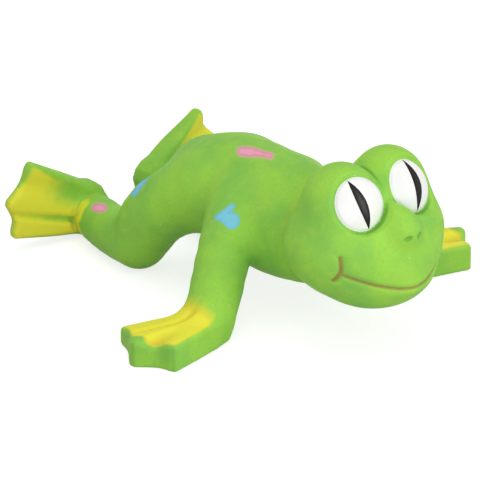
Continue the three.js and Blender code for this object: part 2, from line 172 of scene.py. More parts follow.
FOOT_CREASES = [((39, -5.1), (8, -4.6), 1.5, 1.9, 1.6), ((38, 9), (12, 6.5), 1.8, 1.6, 4.5)]
FOOT_THICKNESS = 9.2
FOOT_TIP_THICKNESS = 6
FOOT_HEEL = 2  # how much fuller the foot is behind, towards the heel
FOOT_ROUND = 2.5
FOOT_HEEL_ROUND = 1.6  # how much rounder the heel is
FOOT_THINS = (0, 42)  # reach from the root where the foot thins
FOOT_HEEL_FILLS = (38, 8)  # where it fills out behind
FOOT_HEEL_ROUNDS = (20, 4)  # where it gets rounder
WEB_STEPS = 5

# Squeaker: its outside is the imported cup's
cup_low, cup_high = ([float(v) / MM for v in corner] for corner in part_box("squeaker_cup"))
CUP_PLACE = ((cup_low[0] + cup_high[0]) / 2, (cup_low[1] + cup_high[1]) / 2)
CUP_BASE = cup_low[2]
CUP_R = (cup_high[0] - cup_low[0]) / 2
CUP_HEIGHT = cup_high[2] - cup_low[2]
CUP_WALL = 1.2
CUP_FLOOR = 1.5
AIR_HOLE_R = 1.5
CUP_GAP = 0.3

# Camera
CAMERA_AZIMUTH = -40
CAMERA_ELEVATION = 23.7
CAMERA_DISTANCE = 3000
FRAME_WIDTH = 201.6  # seen across at the frog
SENSOR = 36
AIM_HEIGHT = 40
AIM_RIGHT = -6.6
AIM_UP = -16.8

# Where the skin is divided, and where each fold starts and stops bending
NECK_CUT, NECK_BEND = -39, (-40.2, -52)
SHOULDER_CUT, SHOULDER_BEND = -23.5, (-24.8, -40)
WRIST_CUT, WRIST_BEND = -50, (-51.2, -66)
HIP_CUT, HIP_BEND = 33, (34.2, 50)
KNEE_CUT, KNEE_BEND = 51.5, (52.7, 71)
ANKLE_CUT, ANKLE_BEND = 73, (74.2, 86)


# Distances

def bulge(p, form):
    """Distance to an oval ball."""
    centre, half = (np.array(v, np.float32) for v in form)
    q = (p - centre) / half
    far = np.linalg.norm(q, axis=1)
    return far * (far - 1) / np.maximum(np.linalg.norm(q / half, axis=1), SMALLEST)


def join(a, b, radius):
    """Two forms as one, with a soft hollow of that radius between them."""
    near = np.maximum(radius - np.abs(a - b), 0) / radius
    return np.minimum(a, b) - near**2 * radius / 4


def cut(a, b, radius):
    """The first form without the second, with a soft edge."""
    return -join(-a, b, radius)


def curve_through(balls, steps=BALL_STEPS):
    """More balls on the smooth curve through a row of balls."""
    row = np.array(balls, float)
    row = np.vstack([2 * row[0] - row[1], row, 2 * row[-1] - row[-2]])
    found = []
    for p0, p1, p2, p3 in zip(row, row[1:], row[2:], row[3:]):
        for t in np.arange(steps) / steps:
            bend = (2 * p0 - 5 * p1 + 4 * p2 - p3) * t**2 + (3 * p1 - p0 - 3 * p2 + p3) * t**3
            found.append((2 * p1 + (p2 - p0) * t + bend) / 2)
    return np.array(found + [row[-2]], np.float32)


def tube(p, balls):
    """Distance to the skin over a row of balls."""
    nearest = None
    for a, b in zip(balls, balls[1:]):
        way = b[:3] - a[:3]
        t = np.clip((p - a[:3]) @ way / (way @ way), 0, 1)
        far = np.linalg.norm(p - a[:3] - t[:, None] * way, axis=1) - (a[3] + t * (b[3] - a[3]))
        nearest = far if nearest is None else join(nearest, far, BALL_JOIN)
    return nearest


def outline_distance(x, y, corners):
    """Distance to a flat outline, less than nothing inside it."""
    nearest = np.full(x.shape, np.inf, np.float32)
    inside = np.zeros(x.shape, bool)
    for (ax, ay), (bx, by) in zip(corners, np.roll(corners, 1, axis=0)):
        ex, ey = bx - ax, by - ay
        wx, wy = x - ax, y - ay
        t = np.clip((wx * ex + wy * ey) / (ex**2 + ey**2), 0, 1)
        nearest = np.minimum(nearest, (wx - ex * t) ** 2 + (wy - ey * t) ** 2)
        inside ^= ((ay > y) != (by > y)) & ((wx < ex * wy / ey) if ey else False)
    return np.where(inside, -1, 1) * np.sqrt(nearest)


def rightward(p):
    """Factors that bring what is at some places over to the right side."""
    return np.where(p[:, :1] > 0, -1, 1) ** np.array([1, 0, 0])


def mirrored(p):
    """The same places on the right side."""
    return p * rightward(p)


def ramp(value, low, high):
    """Rises smoothly from 0 at low to 1 at high."""
    t = np.clip((value - low) / (high - low), 0, 1)
    return t * t * (3 - 2 * t)


# Forms of the frog

def turned(degrees):
    """Cosine and sine of an angle."""
    angle = math.radians(degrees)
    return math.cos(angle), math.sin(angle)


def view_axes(azimuth, elevation):
    """Right, up and back of a camera that looks at the frog."""
    a_c, a_s = turned(azimuth)
    e_c, e_s = turned(elevation)
    right = Vector((a_c, a_s, 0))
    up = Vector((-a_s * e_s, a_c * e_s, e_c))
    return right, up, Vector((a_s * e_c, -a_c * e_c, e_s))


def polar(degrees, reach):
    """A flat place at an angle and a distance."""
    c, s = turned(degrees)
    return reach * c, reach * s


def fan_outline(toes, tip, web, sides):
    """A webbed foot's outline: blunt toe tips with hollow webs between them, and the corners at the heel."""
    before, after = sides
    corners = list(before)
    for i, (degrees, reach) in enumerate(toes):
        half = math.degrees(tip / reach)
        corners += [polar(degrees - half, reach), polar(degrees + half, reach)]
        if i + 1 < len(toes):
            next_degrees, next_reach = toes[i + 1]
            next_half = math.degrees(tip / next_reach)
            for t in np.arange(1, WEB_STEPS) / WEB_STEPS:
                way = degrees + half + t * (next_degrees - next_half - degrees - half)
                corners.append(polar(way, reach + t * (next_reach - reach) - web * math.sin(math.pi * t)))
    return np.array(corners + list(after), np.float32)


def line_distance(x, y, start, end):
    """Distance to a flat line, and the share of the line that is passed there."""
    (ax, ay), (bx, by) = start, end
    ex, ey = bx - ax, by - ay
    t = np.clip(((x - ax) * ex + (y - ay) * ey) / (ex**2 + ey**2), 0, 1)
    return np.hypot(x - ax - t * ex, y - ay - t * ey), t


def crease_depth(x, y, creases):
    """How deep the creases between toes are at a place."""
    found = np.zeros(x.shape, np.float32)
    for start, end, start_depth, end_depth, width in creases:
        far, t = line_distance(x, y, start, end)
        found += (start_depth + t * (end_depth - start_depth)) * np.exp(-((far / width) ** 2))
    return found


def plate(edge, face, radius):
    """A flat form from the distances to its outline and its faces, with round edges."""
    a = edge + radius
    b = face + radius
    return np.hypot(np.maximum(a, 0), np.maximum(b, 0)) + np.minimum(np.maximum(a, b), 0) - radius


def axes(along, across):
    """Three directions square to each other: along, nearly across, and out of both."""
    along = np.array(along) / np.linalg.norm(along)
    across = np.array(across) - along * (along @ across)
    across /= np.linalg.norm(across)
    return np.array([along, across, np.cross(along, across)], np.float32)


raise_c, raise_s = turned(FOOT_RAISE)
sweep_c, sweep_s = turned(FOOT_SWEEP)
FOOT_AXES = axes((-raise_c * sweep_c, raise_c * sweep_s, raise_s), (0, 0, 1))
HAND_AXES = axes((-1, 0, 0), (0, -1, 0))
HAND_OUTLINE = fan_outline(HAND_TOES, HAND_TIP, HAND_WEB, HAND_SIDES)
FOOT_OUTLINE = fan_outline(FOOT_TOES, FOOT_TIP, FOOT_WEB, FOOT_SIDES)


def measured(q, root, directions):
    """How far places lie from a root, in each of three directions."""
    return ((q - np.array(root, np.float32)) @ directions.T).T


def in_hand(q):
    return measured(q, HAND_ROOT, HAND_AXES)


def in_foot(q):
    return measured(q, FOOT_ROOT, FOOT_AXES)


def hand_top(y):
    """Height of the hand without its creases: level in front of the middle toe, and lower behind it."""
    return HAND_THICKNESS - HAND_SLOPE * np.maximum(HAND_RIDGE - y, 0)


def hand_form(q):
    x, y, z = in_hand(q)
    top = hand_top(y) - crease_depth(x, y, HAND_CREASES)
    return plate(outline_distance(x, y, HAND_OUTLINE) - HAND_CORNER, z - top, HAND_ROUND)


def foot_form(q):
    x, y, z = in_foot(q)
    half = (FOOT_THICKNESS + ramp(x, *FOOT_THINS) * (FOOT_TIP_THICKNESS - FOOT_THICKNESS)) / 2
    fuller = FOOT_HEEL * ramp(x, *FOOT_HEEL_FILLS)
    half = half + np.where(z < 0, -crease_depth(x, y, FOOT_CREASES), fuller)
    radius = FOOT_ROUND + FOOT_HEEL_ROUND * ramp(x, *FOOT_HEEL_ROUNDS)
    return plate(outline_distance(x, y, FOOT_OUTLINE) - FOOT_CORNER, np.abs(z) - half, radius)


TORSO_BALLS = curve_through(TORSO)
FRONT_LEG_BALLS = curve_through(FRONT_LEG, FRONT_LEG_STEPS)
THIGH_BALLS = curve_through(THIGH)
SHANK_BALLS = curve_through(SHANK)


def ball_box(balls):
    """The corners of a box around a row of balls."""
    return (balls[:, :3] - balls[:, 3:]).min(axis=0), (balls[:, :3] + balls[:, 3:]).max(axis=0)


def plate_box(root, directions, outline, thickness):
    """The corners of a foot's box."""
    flat = np.hstack([outline, np.zeros((len(outline), 1), np.float32)])
    corners = flat @ directions + np.array(root, np.float32)
    return corners.min(axis=0) - thickness, corners.max(axis=0) + thickness


def near_box(q, box, form):
    """A form's distance, worked out only near its box, and the distance to that box farther off."""
    low, high = box
    found = np.linalg.norm(np.maximum(np.maximum(low - q, q - high), 0), axis=1)
    near = found < NEAR
    if near.any():
        found[near] = form(q[near])
    return found


FRONT_BOX = ball_box(FRONT_LEG_BALLS)
HIND_BOX = ball_box(np.vstack([THIGH_BALLS, SHANK_BALLS]))
HAND_BOX = plate_box(HAND_ROOT, HAND_AXES, HAND_OUTLINE, HAND_THICKNESS)
FOOT_BOX = plate_box(FOOT_ROOT, FOOT_AXES, FOOT_OUTLINE, FOOT_THICKNESS)
HEAD_BOX = tuple(np.array(corner, np.float32) for corner in HEAD_CORNERS)


def front_limb(q):
    leg = near_box(q, FRONT_BOX, lambda near: tube(near, FRONT_LEG_BALLS))
    limb = join(leg, near_box(q, HAND_BOX, hand_form), WRIST_JOIN)
    return cut(limb, q[:, 2], GROUND_EDGE)


def hind_leg(q):
    return join(tube(q, THIGH_BALLS), tube(q, SHANK_BALLS), KNEE_JOIN)


def hind_limb(q):
    leg = near_box(q, HIND_BOX, hind_leg)
    limb = join(leg, near_box(q, FOOT_BOX, foot_form), ANKLE_JOIN)
    return cut(limb, q[:, 2], GROUND_EDGE)


def eye_axes(side):
    """Right, top and face of an eye."""
    up_c, up_s = turned(EYE_TILT_UP)
    out_c, out_s = turned(EYE_TURN_OUT * side)
    face = np.array((out_s * up_c, -out_c * up_c, up_s))
    right = np.cross((0, 0, 1), face)
    right /= np.linalg.norm(right)
    return np.array([right, np.cross(face, right), face], np.float32)


def in_eye(q):
    return measured(q, EYE_CENTRE, eye_axes(SIDES["right"]))


def eye_height(x, y):
    """Height of an eye's dome over the plane of its edge."""
    return EYE_DOME * (1 - (x / EYE_HALF[0]) ** 2 - (y / EYE_HALF[1]) ** 2)


def with_eye_seat(form, q):
    """The brow, shaped to lie just under the eye's dome and to leave it smoothly around its edge."""
    x, y, z = in_eye(q)
    edge = (np.hypot(x / EYE_HALF[0], y / EYE_HALF[1]) - 1) * min(EYE_HALF)
    steep = 2 * EYE_DOME * np.hypot(x / EYE_HALF[0] ** 2, y / EYE_HALF[1] ** 2)
    seat = (z - eye_height(x, y) + EYE_SINK) / np.hypot(1, steep)
    share = ramp(edge, EYE_FADE, 0) * ramp(z, *EYE_SEAT_DEPTHS)
    return form + share * (seat - form)


def mouth_distance(q):
    """Distance from the mouth's line and the folds at its corners."""
    out = np.minimum(-q[:, 0], MOUTH_HALF)
    rise = MOUTH_RISE * (np.maximum(out, 0) / MOUTH_HALF) ** MOUTH_CURVE
    slope = MOUTH_RISE * MOUTH_CURVE / MOUTH_HALF * (np.maximum(out, 0) / MOUTH_HALF) ** (MOUTH_CURVE - 1)
    aside = (q[:, 2] - MOUTH_LOW - rise) / np.hypot(1, slope)
    smile = np.hypot(aside, np.maximum(-q[:, 0] - MOUTH_HALF, 0))
    for start, end in zip(MOUTH_FOLD, MOUTH_FOLD[1:]):
        fold, _ = line_distance(q[:, 0], q[:, 2], start, end)
        smile = np.minimum(smile, fold)
    return np.where(q[:, 1] < SKULL[0][1], smile, np.inf)


def head_form(q):
    form = join(bulge(q, SKULL), bulge(q, JAW), JAW_JOIN)
    form = join(form, join(bulge(q, LIP), bulge(q, CHIN), LIP_JOIN), CHIN_JOIN)
    form = join(form, bulge(q, BROW), BROW_JOIN)
    nose = join(bulge(q, NOSE), bulge(q, NOSE_BRIDGE), BRIDGE_JOIN)
    form = join(form, nose, NOSE_JOIN)
    form = with_eye_seat(form, q)
    form = cut(form, tube(q, np.array(NOSTRIL, np.float32)), NOSTRIL_EDGE)
    return form + MOUTH_DEPTH * np.exp(-((mouth_distance(q) / MOUTH_WIDTH) ** 2))


def head_axes():
    """The head's own right, back and top."""
    c, s = turned(HEAD_ROLL)
    return np.array([(c, 0, s), (0, 1, 0), (-s, 0, c)], np.float32)


def in_head(p):
    """Places on the right half of the head before it leans."""
    middle = np.array(SKULL[0], np.float32)
    return mirrored((p - middle) @ head_axes().T + middle)


def head(p):
    return near_box(in_head(p), HEAD_BOX, head_form)


def squeaker_pocket(p):
    edge = np.hypot(p[:, 0] - CUP_PLACE[0], p[:, 1] - CUP_PLACE[1]) - CUP_R - CUP_GAP
    return np.maximum(edge, p[:, 2] - CUP_BASE - CUP_HEIGHT - CUP_GAP)


def skin(p):
    """The whole frog's outside."""
    q = mirrored(p)
    form = join(tube(p, TORSO_BALLS), hind_limb(q), HIP_JOIN)
    form = join(form, front_limb(q), SHOULDER_JOIN)
    form = join(form, head(p), NECK_JOIN)
    return cut(form, squeaker_pocket(p), POCKET_EDGE)


# Meshes from distances

def shared(form, places):
    """A form's distances, worked out for some places at a time."""
    parts = np.array_split(places.astype(np.float32), len(places) // SHARE + 1)
    with ThreadPoolExecutor() as workers:
        return np.concatenate(list(workers.map(form, parts)))


def sampled(form, low, high, step):
    """Distances on a grid from corner to corner: true ones near the surface, rough ones elsewhere."""
    counts = (np.ceil((high - low) / (step * COARSE)).astype(int)) * COARSE + 1
    lines = [low[k] + step * np.arange(counts[k]) for k in range(3)]

    def values_at(x, y, z):
        return shared(form, np.stack([x, y, z], axis=-1).reshape(-1, 3))

    rough_lines = [line[::COARSE] for line in lines]
    rough = values_at(*np.meshgrid(*rough_lines, indexing="ij")).reshape([len(r) for r in rough_lines])
    nearest = [np.rint(np.arange(n) / COARSE).astype(int) for n in counts]
    values = rough[np.ix_(*nearest)]
    near = np.nonzero(np.abs(values) < step * (COARSE + 1))
    values[near] = values_at(*[line[index] for line, index in zip(lines, near)])
    return values


def cell_points(values, places):
    """In each crossed cell, the middle of the places where the surface meets the cell's edges."""
    total = np.zeros((len(places), 3))
    crossings = np.zeros((len(places), 1))
    for axis in range(3):
        along = np.eye(3, dtype=int)[axis]
        u, v = (axis + 1) % 3, (axis + 2) % 3
        for du, dv in np.ndindex(2, 2):
            start = places.copy()
            start[:, u] += du
            start[:, v] += dv
            a = values[tuple(start.T)]
            b = values[tuple((start + along).T)]
            meets = (a < 0) != (b < 0)
            share = a[meets] / (a[meets] - b[meets])
            total[meets] += start[meets] + share[:, None] * along
            crossings[meets] += 1
    return total / crossings


def edge_quads(inside, number, axis, leaves):
    """A quad around each edge of the grid along an axis that leaves the form, or that enters it."""
    u, v = (axis + 1) % 3, (axis + 2) % 3
    ahead = np.take(inside, range(1, inside.shape[axis]), axis)
    behind = np.take(inside, range(inside.shape[axis] - 1), axis)
    edges = np.argwhere((behind == leaves) & (ahead != leaves))
    edges = edges[(edges[:, u] > 0) & (edges[:, v] > 0)]
    edges = edges[(edges[:, u] < number.shape[u]) & (edges[:, v] < number.shape[v])]
    round_edge = [(1, 1), (0, 1), (0, 0), (1, 0)]
    corners = []
    for du, dv in round_edge if leaves else round_edge[::-1]:
        cell = edges.copy()
        cell[:, u] -= du
        cell[:, v] -= dv
        corners.append(number[tuple(cell.T)])
    return np.stack(corners, axis=1)


def netted(values, low, step):
    """Points and quads of the surface where the distance is nothing, one point in each cell it crosses."""
    inside = values < 0
    cells = tuple(n - 1 for n in values.shape)
    count = np.zeros(cells, np.int8)
    for i, j, k in np.ndindex(2, 2, 2):
        count += inside[i : i + cells[0], j : j + cells[1], k : k + cells[2]]
    crossed = (count > 0) & (count < 8)
    places = np.argwhere(crossed)
    number = np.full(cells, -1)
    number[crossed] = np.arange(len(places))
    quads = [edge_quads(inside, number, axis, leaves) for axis in range(3) for leaves in (True, False)]
    return low + step * cell_points(values, places), np.concatenate(quads)


def outward(form, points, reach=0.15):
    """Directions out of the surface."""
    found = np.zeros_like(points)
    for way in np.array([(1, -1, -1), (-1, -1, 1), (-1, 1, -1), (1, 1, 1)], np.float32):
        found += way * shared(form, points + reach * way)[:, None]
    return found / np.maximum(np.linalg.norm(found, axis=1, keepdims=True), SMALLEST)


def evened(points, quads):
    """Each point moved to the middle of its neighbours."""
    total = np.zeros_like(points)
    count = np.zeros(len(points))
    for k in range(4):
        a, b = quads[:, k], quads[:, (k + 1) % 4]
        for here, there in ((a, b), (b, a)):
            for axis in range(3):
                total[:, axis] += np.bincount(here, points[there, axis], len(points))
            count += np.bincount(here, minlength=len(points))
    return total / count[:, None]


def surface(form, low, high, step, rounds=2):
    """A smooth mesh on a form: its points, quads and directions out."""
    low = np.array(low, float)
    points, quads = netted(sampled(form, low, np.array(high, float), step), low, step)
    for move in [evened] * rounds + [None]:
        points = move(points, quads) if move else points
        points -= outward(form, points) * np.clip(shared(form, points), -step, step)[:, None]
    return points, quads, outward(form, points)


def new_object(name, data):
    made = bpy.data.objects.new(name, data)
    bpy.context.scene.collection.objects.link(made)
    return made


def new_mesh(name, points, faces, material, directions=None, fields=()):
    """An object from points in millimetres, with values kept on its points."""
    mesh = bpy.data.meshes.new(name)
    mesh.from_pydata((points * MM).tolist(), [], [list(map(int, f)) for f in faces])
    mesh.polygons.foreach_set("use_smooth", [True] * len(mesh.polygons))
    rest = mesh.attributes.new("rest_place", "FLOAT_VECTOR", "POINT")
    rest.data.foreach_set("vector", points.astype(np.float32).ravel())
    for field, values in dict(fields).items():
        kept = mesh.attributes.new(field, "FLOAT", "POINT")
        kept.data.foreach_set("value", values.astype(np.float32))
    if directions is not None:
        mesh.normals_split_custom_set_from_vertices(directions.tolist())
    mesh.materials.append(material)
    return new_object(name, mesh)


def open_edges(quads):
    """Edges that only one quad has, in its order."""
    edges = np.concatenate([np.stack([quads[:, k], quads[:, (k + 1) % 4]], axis=1) for k in range(4)])
    same = np.sort(edges, axis=1)
    _, index, count = np.unique(same, axis=0, return_index=True, return_counts=True)
    return edges[index[count == 1]]


# Materials

# Paints as screens show them, from 0 to 255, with the colours of painted shade in hollows and of a painted
# highlight on the pupils
PAINTS = {
    "green": (163, 222, 80),
    "deep_green": (120, 194, 88),
    "pale_green": (180, 225, 82),
    # painted shade in hollows of the green skin
    "hollow_green": (96, 162, 64),
    "neck_ochre": (188, 188, 62),
    "blue": (134, 214, 238),
    "blue_rim": (122, 202, 238),
    "pink": (252, 177, 202),
    "pink_rim": (248, 156, 180),
    "mouth_brown": (162, 98, 74),
    "yellow": (251, 246, 72),
    "hand_ochre": (212, 186, 52),
    # painted shade in hollows of the hands and feet
    "hollow_olive": (128, 150, 54),
    "eye_white": (252, 252, 250),
    "eye_white_worn": (246, 247, 246),
    "pupil_black": (14, 14, 15),
    # grey of the pupils' painted highlight
    "pupil_grey": (84, 82, 80),
    "squeaker_white": (238, 238, 232),
    "squeaker_white_worn": (222, 222, 214),
    "reed_blue": (206, 216, 224),
    "reed_blue_worn": (186, 198, 208),
    "fibre_white": (246, 244, 238),
    "fibre_grey": (214, 210, 200),
}
WHITE = (1, 1, 1, 1)

# Mottling of the latex: patches in a millimetre, their detail, the noise from and to which they show, their
# strength and their paint
MOTTLES = [
    (0.05, 3, (0.36, 0.68), 0.55, "Deep"),
    (0.16, 4, (0.5, 0.74), 0.4, "Pale"),
    (0.9, 3, (0.45, 0.7), 0.2, "Deep"),
]
SPECKS_PER_MM = 0.16
SPECK_SIZE = (0.03, 0.06)
SPECK_PAINT = (0.85, 0.92, 0.7, 1)
SPECK_STRENGTH = 0.5
LATEX_SHINE = 0.16
LATEX_ROUGHNESS = 0.52
LATEX_ROUGHER = 0.18  # how much rougher where the fine mottling is strong
GRAIN_SCALE = 1.6
GRAIN_DETAIL = 3
MOTTLE_HEIGHT = 0.6  # of the broad mottling beside the grain
LATEX_BUMP = (0.26, 0.0004)

# Layers of paint over the latex, one of them painted shade in hollows: the field that they cover, the edge's
# softness and waver, the strength, the paint and the rim's paint
PINK_SPOTS = ("pink_paint", 0.2, 0.12, 1, "pink", "pink_rim")
GREEN_LAYERS = [
    # painted shade: darker green where the skin is hollow
    ("hollow_paint", 0.5, 0.15, 0.75, "hollow_green", "hollow_green"),
    ("neck_paint", 0.5, 0.2, 0.5, "neck_ochre", "neck_ochre"),
    ("blue_paint", 0.1, 0.14, 1, "blue", "blue_rim"),
    PINK_SPOTS,
    ("mouth_paint", 0.3, 0.1, 0.8, "mouth_brown", "mouth_brown"),
]
YELLOW_LAYERS = [
    ("yellow_paint", 0.42, 0.4, 1, "yellow", "yellow"),
    # ochre paint at soft edges and on the feet, and painted shade in the hands' creases
    ("ochre_paint", 0.45, 0.3, 0.6, "hand_ochre", "hand_ochre"),
    # painted shade: olive where the hands and feet are hollow
    ("hollow_paint", 0.5, 0.15, 0.8, "hollow_olive", "hollow_olive"),
    PINK_SPOTS,
]
EDGE = 0.5  # a patch's coverage on its edge
WAVER_SCALE = 0.3
WAVER_DETAIL = 3
NOISE_MIDDLE = 0.5  # the noise's value at its middle
RIM = 0.12  # coverage that the rim takes up

# Smooth paint and plastic
PLAIN_SHINE = 0.5
CLOUD_DETAIL = 3
CLOUD_SHOWN = (0.45, 0.7)
PLAIN_ROUGHER = 0.16
PLAIN_ROUGH_SCALE = 0.6
PLAIN_BUMP_SCALE = 0.8
PLAIN_BUMP = (0.08, 0.0003)

# Pupils and fibre
PUPIL_SHINE = 0.15
# noise that breaks up the pupils' painted highlight
PUPIL_HIGHLIGHT_NOISE = 1.2
PUPIL_HIGHLIGHT_LEAST = 0.4
FIBRE_SHINE = 0.2
FIBRE_ROUGHNESS = 0.95
FIBRE_STRETCHES = [(0.15, 1.6, 1.6), (1.6, 0.15, 1.6)]
FIBRE_DETAIL = 4
FIBRE_BUMP = (0.6, 0.001)


def add(tree, kind, inputs=None, **settings):
    """A node with its settings, its inputs set to values or linked to other nodes' outputs."""
    made = tree.nodes.new(kind)
    for name, value in settings.items():
        setattr(made, name, value)
    for name, value in (inputs or {}).items():
        if isinstance(value, bpy.types.NodeSocket):
            tree.links.new(value, made.inputs[name])
        else:
            made.inputs[name].default_value = value
    return made


def mix(tree, mask, first, second):
    """A colour that goes from the first to the second with the mask."""
    made = add(tree, "ShaderNodeMix", {0: mask, 6: first, 7: second}, data_type="RGBA")
    return made.outputs[2]


def maths(tree, operation, *values):
    """A sum or the like of values and other nodes' outputs."""
    made = add(tree, "ShaderNodeMath", dict(enumerate(values)), operation=operation)
    return made.outputs[0]


def times(tree, place, factors):
    """A place with each of its parts multiplied."""
    return add(tree, "ShaderNodeVectorMath", {0: place, 1: factors}, operation="MULTIPLY").outputs[0]


def between(tree, value, low, high):
    """The value's place from low to high, smoothly from 0 to 1."""
    inputs = {"Value": value, "From Min": low, "From Max": high}
    return add(tree, "ShaderNodeMapRange", inputs, interpolation_type="SMOOTHSTEP").outputs[0]


def noise(tree, place, scale, detail=2.0):
    return add(tree, "ShaderNodeTexNoise", {"Vector": place, "Scale": scale, "Detail": detail}).outputs["Fac"]


def attribute(tree, name, output="Fac"):
    return add(tree, "ShaderNodeAttribute", attribute_name=name).outputs[output]


def bump(tree, shader, height, strength, depth):
    """Lets a height show on a material's surface."""
    made = add(tree, "ShaderNodeBump", {"Height": height, "Strength": strength, "Distance": depth})
    tree.links.new(made.outputs[0], shader["Normal"])


def dress(tree, shader, shown, finish, strength, depth):
    """Puts a colour, and the roughness and height of a shared finish, on a material's surface."""
    tree.links.new(shown, shader["Base Color"])
    tree.links.new(finish["Roughness"], shader["Roughness"])
    bump(tree, shader, finish["Height"], strength, depth)


def new_group(name, inputs, outputs):
    """An empty node group with named sockets, and its two end nodes."""
    tree = bpy.data.node_groups.new(name, "ShaderNodeTree")
    for direction, sockets in (("INPUT", inputs), ("OUTPUT", outputs)):
        for socket, kind in sockets.items():
            tree.interface.new_socket(socket, in_out=direction, socket_type="NodeSocket" + kind)
    return tree, add(tree, "NodeGroupInput").outputs, add(tree, "NodeGroupOutput").inputs


def latex_group():
    """Sprayed latex: broad and fine mottling, specks, and a fine grain for height and roughness."""
    inputs = {"Place": "Vector", "Paint": "Color", "Deep": "Color", "Pale": "Color", "Specks": "Float"}
    outputs = {"Colour": "Color", "Roughness": "Float", "Height": "Float"}
    tree, given, out = new_group("sprayed_latex", inputs, outputs)
    place = given["Place"]
    shade = given["Paint"]
    clouds, masks = [], []
    for scale, detail, shown, strength, paint in MOTTLES:
        clouds.append(noise(tree, place, scale, detail))
        masks.append(between(tree, clouds[-1], *shown))
        shade = mix(tree, maths(tree, "MULTIPLY", masks[-1], strength), shade, given[paint])
    dots = add(tree, "ShaderNodeTexVoronoi", {"Vector": place, "Scale": SPECKS_PER_MM}, feature="F1")
    speck = maths(tree, "SUBTRACT", 1, between(tree, dots.outputs["Distance"], *SPECK_SIZE))
    shade = mix(tree, maths(tree, "MULTIPLY", speck, given["Specks"]), shade, SPECK_PAINT)
    tree.links.new(shade, out["Colour"])
    rough = maths(tree, "MULTIPLY_ADD", clouds[-1], LATEX_ROUGHER, LATEX_ROUGHNESS)
    tree.links.new(rough, out["Roughness"])
    grain = noise(tree, place, GRAIN_SCALE, GRAIN_DETAIL)
    tree.links.new(maths(tree, "MULTIPLY_ADD", masks[0], MOTTLE_HEIGHT, grain), out["Height"])
    return tree


def spray_group():
    """A sprayed patch from its coverage, with an edge that wavers a little and a rim inside the edge."""
    inputs = {"Place": "Vector", "Coverage": "Float", "Softness": "Float", "Waver": "Float"}
    tree, given, out = new_group("sprayed_patch", inputs, {"Mask": "Float", "Rim": "Float"})
    waver = maths(tree, "SUBTRACT", noise(tree, given["Place"], WAVER_SCALE, WAVER_DETAIL), NOISE_MIDDLE)
    covered = maths(tree, "MULTIPLY_ADD", waver, given["Waver"], given["Coverage"])
    low = maths(tree, "SUBTRACT", EDGE, given["Softness"])
    high = maths(tree, "ADD", EDGE, given["Softness"])
    mask = between(tree, covered, low, high)
    tree.links.new(mask, out["Mask"])
    inner = between(tree, covered, high, maths(tree, "ADD", high, RIM))
    tree.links.new(maths(tree, "SUBTRACT", mask, inner), out["Rim"])
    return tree


def clouded_group():
    """Smooth paint or plastic: faint worn clouds and a fine unevenness."""
    inputs = {"Place": "Vector", "Paint": "Color", "Worn": "Color", "Scale": "Float", "Roughness": "Float"}
    outputs = {"Colour": "Color", "Roughness": "Float", "Height": "Float"}
    tree, given, out = new_group("clouded_finish", inputs, outputs)
    place = given["Place"]
    clouds = between(tree, noise(tree, place, given["Scale"], CLOUD_DETAIL), *CLOUD_SHOWN)
    tree.links.new(mix(tree, clouds, given["Paint"], given["Worn"]), out["Colour"])
    least = maths(tree, "SUBTRACT", given["Roughness"], PLAIN_ROUGHER / 2)
    rough = maths(tree, "MULTIPLY_ADD", noise(tree, place, PLAIN_ROUGH_SCALE), PLAIN_ROUGHER, least)
    tree.links.new(rough, out["Roughness"])
    tree.links.new(noise(tree, place, PLAIN_BUMP_SCALE), out["Height"])
    return tree


LATEX = latex_group()
SPRAY = spray_group()
CLOUDED = clouded_group()


def colour(name):
    """A paint's colour as a light value."""
    parts = [c / 255 for c in PAINTS[name]]
    return tuple(c / 12.92 if c <= 0.04045 else ((c + 0.055) / 1.055) ** 2.4 for c in parts) + (1.0,)


def new_material(name, shine, roughness=0.5):
    """A material with a plain shader, its tree and its place on the resting surface."""
    made = bpy.data.materials.new(name)
    made.use_nodes = True
    tree = made.node_tree
    shader = tree.nodes["Principled BSDF"]
    shader.inputs["Roughness"].default_value = roughness
    shader.inputs["Specular IOR Level"].default_value = shine
    return made, tree, shader.inputs, attribute(tree, "rest_place", "Vector")


def place_group(tree, which, inputs):
    """The outputs of a shared node group, placed in a material with its own values."""
    return add(tree, "ShaderNodeGroup", inputs, node_tree=which).outputs


def latex_material(name, layers):
    """Green latex with layers of sprayed paint over it, one of them painted shade in hollows."""
    made, tree, shader, place = new_material(name, LATEX_SHINE)
    body = {
        "Place": place,
        "Paint": colour("green"),
        "Deep": colour("deep_green"),
        "Pale": colour("pale_green"),
        "Specks": SPECK_STRENGTH,
    }
    latex = place_group(tree, LATEX, body)
    shown = latex["Colour"]
    for field, softness, waver, strength, paint, rim in layers:
        inputs = {"Place": place, "Coverage": attribute(tree, field), "Softness": softness, "Waver": waver}
        sprayed = place_group(tree, SPRAY, inputs)
        fill = mix(tree, sprayed["Rim"], colour(paint), colour(rim))
        shown = mix(tree, maths(tree, "MULTIPLY", sprayed["Mask"], strength), shown, fill)
    dress(tree, shader, shown, latex, *LATEX_BUMP)
    return made


def plain_material(name, paint, roughness, scale):
    """Smooth paint or plastic, with worn clouds of a scale."""
    made, tree, shader, _ = new_material(name, PLAIN_SHINE, roughness)
    body = {
        "Place": times(tree, add(tree, "ShaderNodeTexCoord").outputs["Object"], [1 / MM] * 3),
        "Paint": colour(paint),
        "Worn": colour(f"{paint}_worn"),
        "Scale": scale,
        "Roughness": roughness,
    }
    finish = place_group(tree, CLOUDED, body)
    dress(tree, shader, finish["Colour"], finish, *PLAIN_BUMP)
    return made


def pupil_material():
    """Black paint, with a painted grey highlight along the middle of the slit."""
    made, tree, shader, place = new_material("pupil_black", PUPIL_SHINE)
    highlight_spread = maths(tree, "ADD", noise(tree, place, PUPIL_HIGHLIGHT_NOISE), PUPIL_HIGHLIGHT_LEAST)
    grey = maths(tree, "MULTIPLY", attribute(tree, "pupil_grey"), highlight_spread)
    tree.links.new(mix(tree, grey, colour("pupil_black"), colour("pupil_grey")), shader["Base Color"])
    return made


